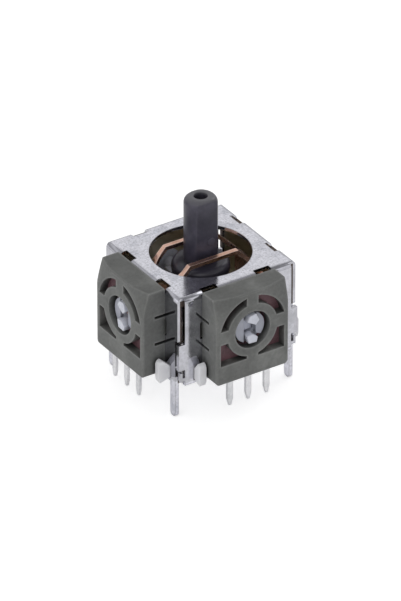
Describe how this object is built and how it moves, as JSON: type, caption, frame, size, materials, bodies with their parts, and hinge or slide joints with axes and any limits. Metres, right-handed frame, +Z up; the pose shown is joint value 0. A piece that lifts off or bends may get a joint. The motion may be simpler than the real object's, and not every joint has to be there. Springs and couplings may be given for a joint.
{
  "type": "controller_analog_stick",
  "caption": "Board-mounted two-axis analog stick module with a dark flatted shaft and crown, tinned sheet frame, copper-coloured rocker, grey sensor housings, white base and push switch.",
  "frame": {"origin": "on the stick's rest axis, on the circuit board surface that the base stands on", "axes": "+Z up along the stick, -Y towards the front sensor housing, -X towards the left sensor housing"},
  "size_m": [0.0205, 0.0218, 0.0236],
  "materials": {
    "tin_plate": "bright tin plated sheet steel",
    "tin_pin": "tinned strip",
    "white_nylon": "natural white moulding",
    "white_acetal": "natural white moulding",
    "grey_plastic": "grey green moulding with fine texture",
    "brown_board": "reddish brown laminate",
    "copper_strip": "copper coloured pressed strip",
    "bronze_strip": "spring bronze",
    "steel_pin": "polished steel",
    "dark_plastic": "blue black moulding",
    "switch_plastic": "black moulding"
  },
  "bodies": {
    "housing": {"frame": "tin_plate", "base": "white_nylon", "sensor_housing_front": "grey_plastic", "sensor_housing_left": "grey_plastic", "sensor_board_front": "brown_board", "sensor_board_left": "brown_board", "terminal_front_1": "tin_pin", "terminal_front_2": "tin_pin", "terminal_front_3": "tin_pin", "terminal_left_1": "tin_pin", "terminal_left_2": "tin_pin", "terminal_left_3": "tin_pin", "switch_housing": "switch_plastic", "switch_cover": "tin_plate", "switch_snap": "bronze_strip", "switch_terminal_1": "tin_pin", "switch_terminal_2": "tin_pin", "switch_terminal_3": "tin_pin", "switch_terminal_4": "tin_pin", "return_spring": "steel_pin"},
    "front_rotor": {"rotor_front": "white_acetal", "wiper_front": "bronze_strip"},
    "lower_rocker": {"lower_rocker": "white_acetal", "pivot_pin": "steel_pin"},
    "stick": {"stick": "dark_plastic"},
    "upper_rocker": {"upper_rocker": "copper_strip", "rotor_left": "white_acetal", "wiper_left": "bronze_strip"},
    "plunger": {"switch_plunger": "dark_plastic"},
    "disc": {"return_disc": "white_acetal"}
  },
  "joints": [
    {"name": "tilt_left_right", "type": "hinge", "parent": "housing", "child": "front_rotor", "pos_m": [0, 0, 0.00675], "axis": [0, 1, 0], "range_deg": [-20, 20], "stiffness_Nm_per_rad": 0.006},
    {"name": "press", "type": "hinge", "parent": "front_rotor", "child": "lower_rocker", "pos_m": [0, -0.0084, 0.00675], "axis": [-1, 0, 0], "range_deg": [0, 1.4], "stiffness_Nm_per_rad": 0.4},
    {"name": "tilt_up_down", "type": "hinge", "parent": "lower_rocker", "child": "stick", "pos_m": [0, 0, 0.00675], "axis": [1, 0, 0], "range_deg": [-20, 20], "stiffness_Nm_per_rad": 0.006},
    {"name": "upper_rocker_swing", "type": "hinge", "parent": "housing", "child": "upper_rocker", "pos_m": [0, 0, 0.00675], "axis": [1, 0, 0], "range_deg": [-20, 20]},
    {"name": "switch_press", "type": "slide", "parent": "housing", "child": "plunger", "axis": [0, 0, -1], "range_m": [0, 0.00042]},
    {"name": "return_disc_slide", "type": "slide", "parent": "housing", "child": "disc", "axis": [0, 0, -1], "range_m": [0, 0.0009], "stiffness_N_per_m": 800, "deforming": ["return_spring"]}
  ],
  "couplings": [
    {"joint": "upper_rocker_swing", "follows": "tilt_up_down", "ratio": 1},
    {"joint": "press", "follows": "switch_press", "rad_per_m": 57.4}
  ]
}
